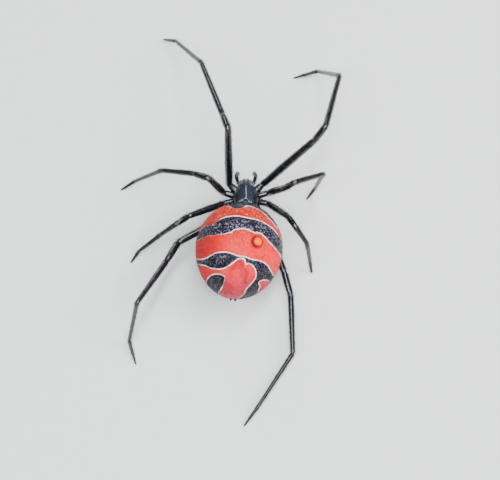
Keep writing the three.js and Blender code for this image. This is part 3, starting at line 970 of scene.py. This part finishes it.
# Each is (out to the side, up, length, radius), in millimetres
TEATS = ((0.22, -0.2, 0.85, 0.24), (0.1, 0.0, 0.7, 0.12), (0.2, 0.2, 0.8, 0.21))
VENT = (0.0, 0.42, 0.6, 0.14)
TEAT_PROFILE = np.array([1, 1, 0.97, 0.92, 0.8, 0.74, 0.6, 0.4, 0.12])

teat_middle = middle_of("spinnerets")
teat_aim = unit(abdomen_turn @ np.array([0, -0.72, -0.7]))
teat_side = abdomen_turn @ np.array([1.0, 0, 0])
teat_top = np.cross(teat_side, teat_aim)
teats = bmesh.new()
for side, (across, up, length, size) in (
        *((side, teat) for teat in TEATS for side in (-1, 1)), (1, VENT)):
    start = teat_middle + (teat_side * side * across + teat_top * up
                           - teat_aim * TEAT_DEPTH) * MM
    centres = np.array([start + teat_aim * length * t * MM for t in np.linspace(0, 1, 9)])
    teat = draw_tube(centres, size * MM * TEAT_PROFILE, 16)
    teat_mesh = bpy.data.meshes.new("teat")
    teat.to_mesh(teat_mesh)
    teat.free()
    teats.from_mesh(teat_mesh)
    bpy.data.meshes.remove(teat_mesh)
spinnerets = finish_piece("spinnerets_skin", teats, black_shell, ["spinnerets"])
teat_reach = (points_of(spinnerets.data) - teat_middle) @ teat_aim / MM
set_mask(spinnerets, "distal", 0.8)
set_mask(spinnerets, "membrane", blend_step(teat_reach, 0.0, 0.3) * 0.35)


# Bristles. The whole spider is thinly clothed in fine short hairs, each in its own socket and
# swept back towards the tip of the limb or the rear of the body. Each is a thin curved spike.
LEG_BRISTLES = {1: 1200, 2: 800, 3: 700, 4: 1050}
FEELER_BRISTLES = 180
HEAD_BRISTLES = 420
ABDOMEN_BRISTLES = 7000
SPIKE_POINTS = 7
SPIKE_ROOT = 0.01 * MM  # how far it starts inside the skin
SPIKE_TAPER = 0.75  # its thickness halfway, as a share of that at the root
SPIKE_BEND = 0.45  # the lift of its outer half, as a share of the inner half's
LIE_SPREAD = 0.22
LIFT_SPREAD = 0.12
BAKE_SPOT = 0.0015  # how much of the map one bristle takes

rng = np.random.default_rng(7)

bristle_material, bristle_tree, bristle_shader = new_material(
    "bristle_black", {"Roughness": 0.38})
bristle_color = add_ramp(bristle_tree, add_mask(bristle_tree, "shade"), [
    (0.0, (0.004, 0.004, 0.006, 1)), (0.7, (0.01, 0.008, 0.009, 1)),
    (1.0, (0.05, 0.042, 0.04, 1))])
bristle_tree.links.new(bristle_color, bristle_shader.inputs["Base Color"])

fuzz_material, fuzz_tree, fuzz_shader = new_material("bristle_banded", {"Roughness": 0.42})
fuzz_dark, fuzz_red = (
    add_ramp(fuzz_tree, add_mask(fuzz_tree, "shade"), stops) for stops in (
        [(0.0, (0.008, 0.007, 0.01, 1)), (0.6, (0.02, 0.017, 0.025, 1)),
         (1.0, (0.3, 0.27, 0.34, 1))],
        [(0.0, (0.5, 0.02, 0.015, 1)), (0.85, (0.72, 0.04, 0.03, 1)),
         (1.0, (0.9, 0.2, 0.12, 1))]))
fuzz_color = add_mix(fuzz_tree, add_band_paint(fuzz_tree).outputs["Red"], fuzz_dark, fuzz_red)
fuzz_tree.links.new(fuzz_color, fuzz_shader.inputs["Base Color"])


def grow_bristles(name, roots, normals, lies, lengths, width, places, material, rise):
    """A coat of spikes: their roots, the skin's outward ways, the lie, lengths and map places."""
    count = len(roots)
    lies = unit(lies - normals * (lies * normals).sum(axis=1, keepdims=True))
    lies = unit(lies + rng.normal(0, LIE_SPREAD, (count, 3)))
    lift = (rise + rng.normal(0, LIFT_SPREAD, count))[:, None]
    lower = unit(lies * np.cos(lift) + normals * np.sin(lift))
    upper = unit(lies * np.cos(lift * SPIKE_BEND) + normals * np.sin(lift * SPIKE_BEND))
    side = unit(np.cross(lower, normals))
    top = np.cross(side, lower)
    lengths = lengths[:, None]
    middle = roots + lower * lengths * 0.5
    tip = middle + upper * lengths * 0.5
    corners = []
    for centre, share in ((roots - lower * SPIKE_ROOT, 1.0), (middle, SPIKE_TAPER)):
        for k in range(3):
            angle = 2 * math.pi * k / 3
            outward = side * math.cos(angle) + top * math.sin(angle)
            corners.append(centre + width * share * outward)
    points = np.stack([*corners, tip], axis=1).reshape(-1, 3)
    points[:, 2] = np.maximum(points[:, 2], ABOVE_BOARD)
    spike = []
    for k in range(3):
        j = (k + 1) % 3
        spike += [(k, j, 3 + j), (k, 3 + j, 3 + k), (3 + k, 3 + j, 6)]
    spike.append((0, 2, 1))
    first = SPIKE_POINTS * np.arange(count)[:, None, None]
    faces = (np.array(spike)[None] + first).reshape(-1, 3)
    mesh = bpy.data.meshes.new(name)
    mesh.from_pydata(points.tolist(), [], faces.tolist())
    turns = np.arange(SPIKE_POINTS) * 0.9
    patch = BAKE_SPOT * np.array([(math.cos(a), math.sin(a)) for a in turns])
    spots = (places[:, None] + patch[None]).reshape(-1, 2)
    unwrap = mesh.uv_layers.new(name="OFBake")
    unwrap.data.foreach_set("uv", np.clip(spots[faces.reshape(-1)], 0, 1).reshape(-1))
    piece = add_piece(name, mesh, material)
    set_mask(piece, "shade", np.repeat(rng.random(count), SPIKE_POINTS))
    return piece


def limb_roots(centres, radii, frames, count, start, stop):
    """Roots spread over a limb between two shares of its rings."""
    at = rng.uniform(start, stop, count) * (len(centres) - 1)
    low = np.minimum(at.astype(int), len(centres) - 2)
    t = (at - low)[:, None]
    angle = rng.uniform(0, 2 * math.pi, count)
    ahead, side, top = (np.array(ways)[low] for ways in zip(*frames))
    centre = centres[low] * (1 - t) + centres[low + 1] * t
    radius = radii[low] * (1 - t[:, 0]) + radii[low + 1] * t[:, 0]
    normal = side * np.cos(angle)[:, None] + top * np.sin(angle)[:, None]
    root = centre + normal * radius[:, None]
    return root, normal, ahead, angle / (2 * math.pi), at / len(centres)


for index, (leg, (pair, *rings)) in enumerate(leg_rings.items()):
    roots, normals, lies, turn, share = limb_roots(*rings, LEG_BRISTLES[pair], 0.08, 0.985)
    length = np.interp(share, [0, 0.3, 0.7, 1], [0.28, 0.3, 0.26, 0.15]) * MM
    length *= rng.uniform(0.6, 1.2, len(length))
    places = np.stack([share, (index + turn) / 8], axis=1)
    off_board = roots[:, 2] > 0.3 * MM
    grow_bristles(f"{leg}_bristles", roots[off_board], normals[off_board], lies[off_board],
                  length[off_board], 0.011 * MM, places[off_board], bristle_material,
                  0.62)

for feeler, rings in feeler_rings.items():
    roots, normals, lies, turn, share = limb_roots(*rings, FEELER_BRISTLES, 0.15, 0.97)
    grow_bristles(f"{feeler}_bristles", roots, normals, lies,
                  rng.uniform(0.12, 0.24, FEELER_BRISTLES) * MM, 0.009 * MM,
                  np.stack([share, turn], axis=1), bristle_material, 0.6)

ahead = rng.uniform(-0.85, 0.97, HEAD_BRISTLES)
around = rng.uniform(0.1, math.pi - 0.1, HEAD_BRISTLES)
roots = shape_head(ahead, around)
grow_bristles("head_thorax_bristles", roots, unit(roots - head_centre),
              np.tile([0, 1.0, 0], (HEAD_BRISTLES, 1)),
              rng.uniform(0.1, 0.22, HEAD_BRISTLES) * MM, 0.008 * MM,
              np.stack([around / (2 * math.pi), (ahead + 1) / 2], axis=1),
              bristle_material, 0.5)

ahead = rng.uniform(-0.985, 0.96, ABDOMEN_BRISTLES)
around = rng.uniform(0, 2 * math.pi, ABDOMEN_BRISTLES)
roots = shape_abdomen(ahead, around)
fuzz = grow_bristles("abdomen_bristles", roots,
                     unit((roots - abdomen_centre) / ABDOMEN_HALF ** 2),
                     np.tile([0, -1.0, -0.25], (ABDOMEN_BRISTLES, 1)),
                     rng.uniform(0.14, 0.26, ABDOMEN_BRISTLES) * MM, 0.017 * MM,
                     np.stack([around / (2 * math.pi), (ahead + 1) / 2], axis=1),
                     fuzz_material, 0.55)
for mask_name, values in paint_masks(unit(roots - abdomen_centre)).items():
    set_mask(fuzz, mask_name, np.repeat(values, SPIKE_POINTS))
